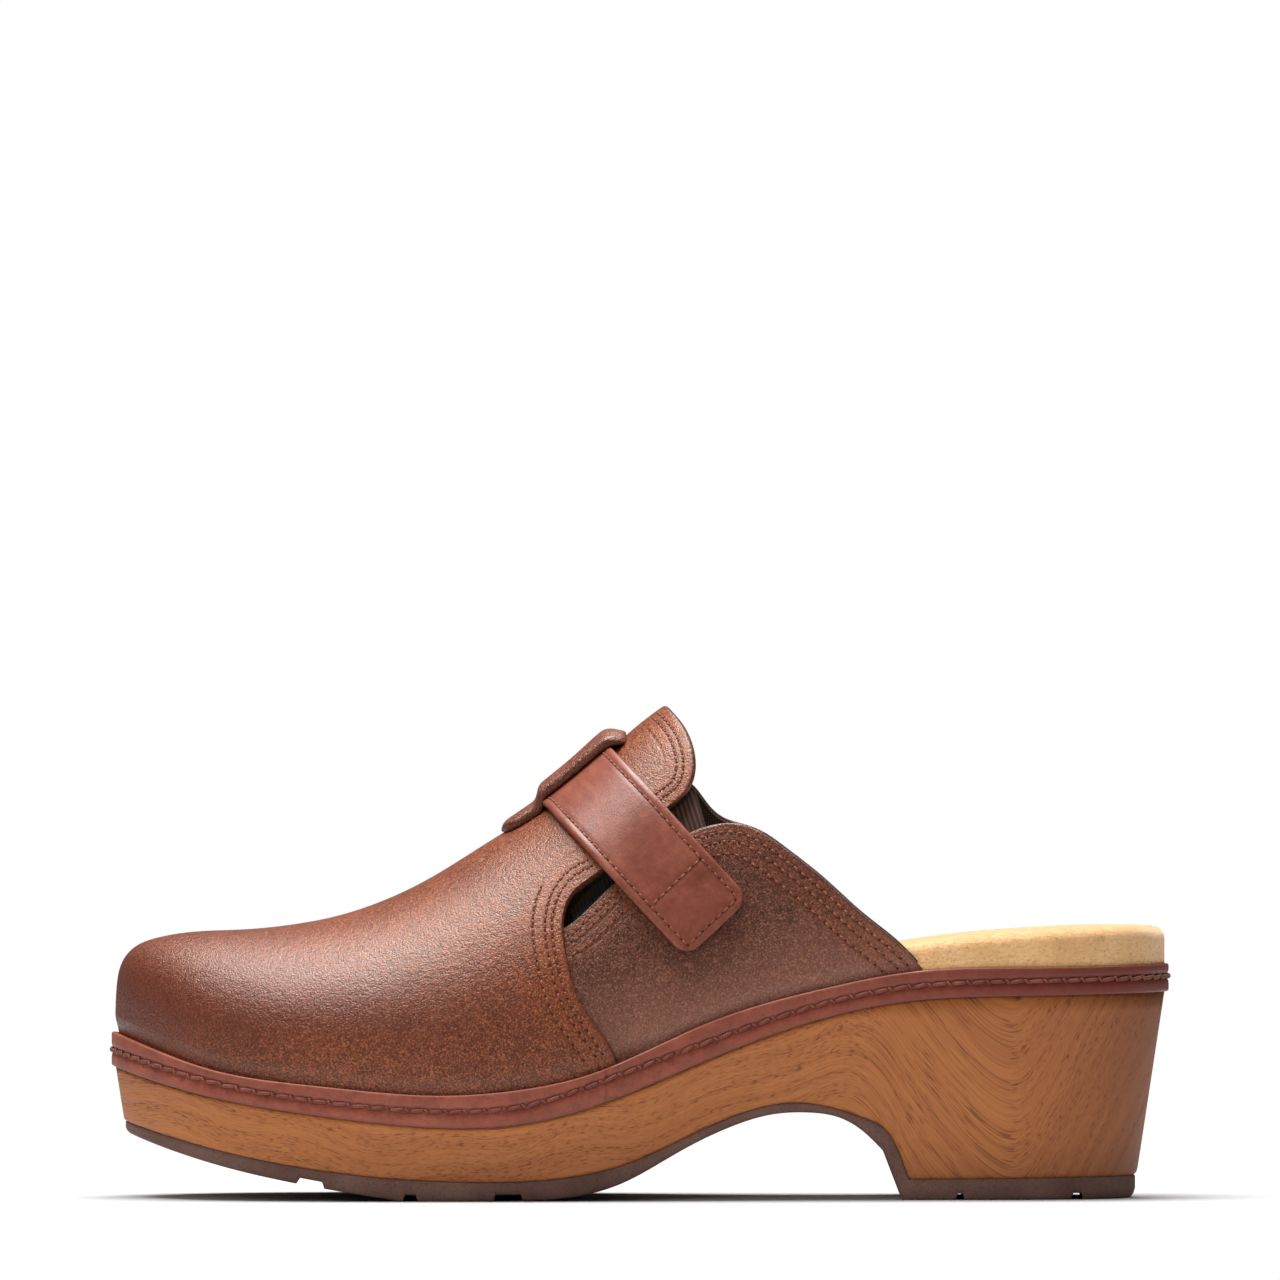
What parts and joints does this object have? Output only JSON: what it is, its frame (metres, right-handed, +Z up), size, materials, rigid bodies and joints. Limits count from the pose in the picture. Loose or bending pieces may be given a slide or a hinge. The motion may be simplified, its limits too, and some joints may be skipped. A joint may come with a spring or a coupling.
{
  "type": "clog",
  "caption": "Left women's mule clog: waxed suede upper, hook-and-loop instep strap, stitched rand, block-heeled wooden platform and rubber outsole.",
  "frame": {"origin": "Middle of the shoe's bounding box in plan, on the floor the sole stands on.", "axes": "X along the shoe with the toe at -X, Y across it with the outer (lateral) side at -Y, Z up."},
  "size_m": [0.2517, 0.0966, 0.117],
  "materials": {
    "outsole_rubber": "matte",
    "wood": "satin",
    "rand_leather": "satin",
    "rand_thread": "matte",
    "fibre_board": "matte",
    "foam": "matte",
    "footbed_suede": "matte",
    "upper_leather": "matte",
    "stiffener": "matte",
    "lining_textile": "matte",
    "elastic": "matte",
    "strap_leather": "satin",
    "strap_backing": "matte",
    "hook_and_loop": "matte"
  },
  "bodies": {
    "clog": {"outsole": "outsole_rubber", "wooden_platform": "wood", "rand": "rand_leather", "rand_stitching": "rand_thread", "insole_board": "fibre_board", "footbed_foam": "foam", "footbed_cover": "footbed_suede", "vamp": "upper_leather", "toe_puff": "stiffener", "vamp_lining": "lining_textile", "lateral_quarter": "upper_leather", "medial_quarter": "upper_leather", "lateral_quarter_lining": "lining_textile", "medial_quarter_lining": "lining_textile", "elastic_gore": "elastic", "loop_pad": "hook_and_loop", "strap_anchor": "strap_leather", "anchor_backing": "strap_backing", "strap_keeper": "upper_leather"},
    "strap_flap": {"strap": "strap_leather", "strap_backing": "strap_backing", "hook_pad": "hook_and_loop"}
  },
  "joints": [
    {"name": "strap_open", "type": "hinge", "parent": "clog", "child": "strap_flap", "pos_m": [-0.014, -0.0105, 0.0999], "axis": [-0.7741, 0, -0.6331], "range_deg": [0, 100]}
  ]
}
